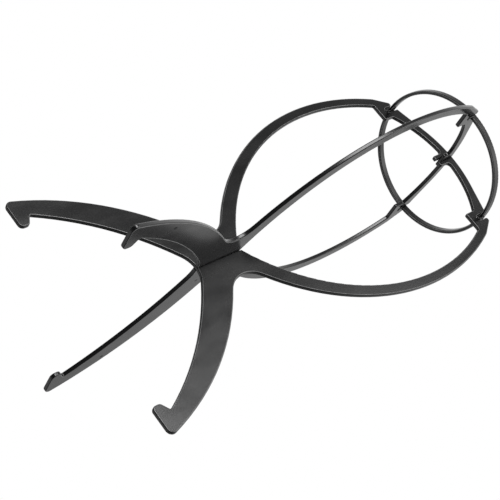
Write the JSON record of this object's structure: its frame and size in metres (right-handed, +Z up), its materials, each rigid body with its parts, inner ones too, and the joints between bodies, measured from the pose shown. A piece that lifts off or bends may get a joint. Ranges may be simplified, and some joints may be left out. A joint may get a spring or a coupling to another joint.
{
  "type": "wig stand",
  "caption": "Crossed flat moulded frames with hooked feet, a narrow waist, an open bulb and a shallow dome, with a lift-off ring on lugs around the dome.",
  "frame": {"origin": "on the stand's upright axis, at the level of the four soles", "axes": "+Z up along the axis where the frames cross, +X along the outer frame, +Y along the inner frame"},
  "size_m": [0.1748, 0.1748, 0.343],
  "materials": {
    "frame_plastic": "satin black, moulded",
    "ring_plastic": "satin black, moulded"
  },
  "bodies": {
    "stand": {"outer_frame": "frame_plastic", "inner_frame": "frame_plastic"},
    "ring": {"ring": "ring_plastic"}
  },
  "joints": [
    {"name": "ring_lift", "type": "slide", "parent": "stand", "child": "ring", "axis": [0, 0, 1], "range_m": [0, 0.025]}
  ]
}
